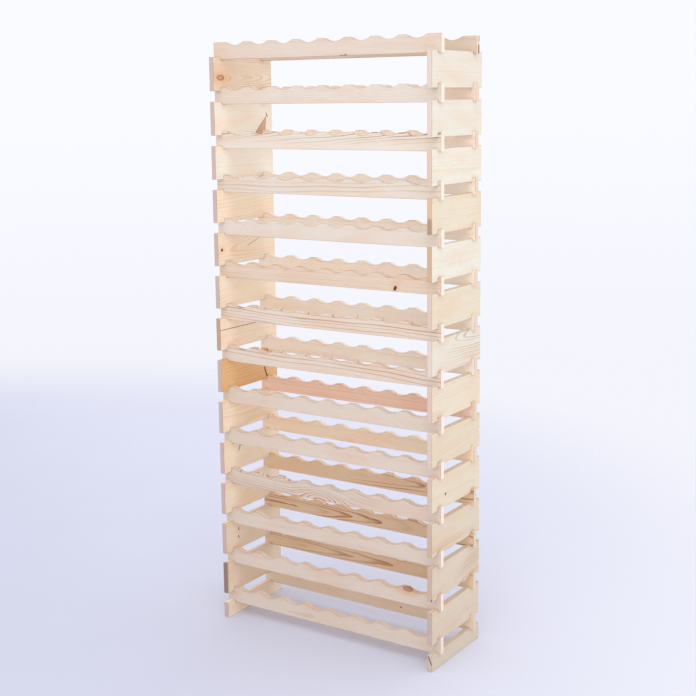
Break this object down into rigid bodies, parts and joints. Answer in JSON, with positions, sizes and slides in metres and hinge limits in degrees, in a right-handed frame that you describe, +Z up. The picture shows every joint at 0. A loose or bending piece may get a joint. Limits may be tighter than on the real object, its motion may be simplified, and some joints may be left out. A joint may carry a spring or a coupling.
{
  "type": "wine rack",
  "caption": "Tall free-standing pine wine rack: a crib of short side boards and long rails with wavy top edges that cradle bottles lying front to back.",
  "frame": {"origin": "on the floor, under the middle of the rack's width and depth", "axes": "+X to the rack's right as seen from the front, -Y towards the front, +Z up"},
  "size_m": [0.755, 0.279, 1.741],
  "materials": {
    "front_rail_pine": "planed, unfinished pine, pale pinkish cream, eased edges",
    "rear_rail_pine": "planed, unfinished pine, warmer than the front rails",
    "side_board_pine": "planed, unfinished pine with knots and end grain"
  },
  "bodies": {
    "root": {"front_rail_01": "front_rail_pine", "rear_rail_01": "rear_rail_pine", "front_rail_02": "front_rail_pine", "rear_rail_02": "rear_rail_pine", "front_rail_03": "front_rail_pine", "rear_rail_03": "rear_rail_pine", "front_rail_04": "front_rail_pine", "rear_rail_04": "rear_rail_pine", "front_rail_05": "front_rail_pine", "rear_rail_05": "rear_rail_pine", "front_rail_06": "front_rail_pine", "rear_rail_06": "rear_rail_pine", "front_rail_07": "front_rail_pine", "rear_rail_07": "rear_rail_pine", "front_rail_08": "front_rail_pine", "rear_rail_08": "rear_rail_pine", "front_rail_09": "front_rail_pine", "rear_rail_09": "rear_rail_pine", "front_rail_10": "front_rail_pine", "rear_rail_10": "rear_rail_pine", "front_rail_11": "front_rail_pine", "rear_rail_11": "rear_rail_pine", "front_rail_12": "front_rail_pine", "rear_rail_12": "rear_rail_pine", "front_rail_13": "front_rail_pine", "rear_rail_13": "rear_rail_pine", "front_rail_14": "front_rail_pine", "rear_rail_14": "rear_rail_pine", "side_board_left_01": "side_board_pine", "side_board_left_02": "side_board_pine", "side_board_left_03": "side_board_pine", "side_board_left_04": "side_board_pine", "side_board_left_05": "side_board_pine", "side_board_left_06": "side_board_pine", "side_board_left_07": "side_board_pine", "side_board_left_08": "side_board_pine", "side_board_left_09": "side_board_pine", "side_board_left_10": "side_board_pine", "side_board_left_11": "side_board_pine", "side_board_left_12": "side_board_pine", "side_board_left_13": "side_board_pine", "side_board_right_01": "side_board_pine", "side_board_right_02": "side_board_pine", "side_board_right_03": "side_board_pine", "side_board_right_04": "side_board_pine", "side_board_right_05": "side_board_pine", "side_board_right_06": "side_board_pine", "side_board_right_07": "side_board_pine", "side_board_right_08": "side_board_pine", "side_board_right_09": "side_board_pine", "side_board_right_10": "side_board_pine", "side_board_right_11": "side_board_pine", "side_board_right_12": "side_board_pine", "side_board_right_13": "side_board_pine", "base_board_left": "side_board_pine", "base_board_right": "side_board_pine"}
  },
  "joints": []
}
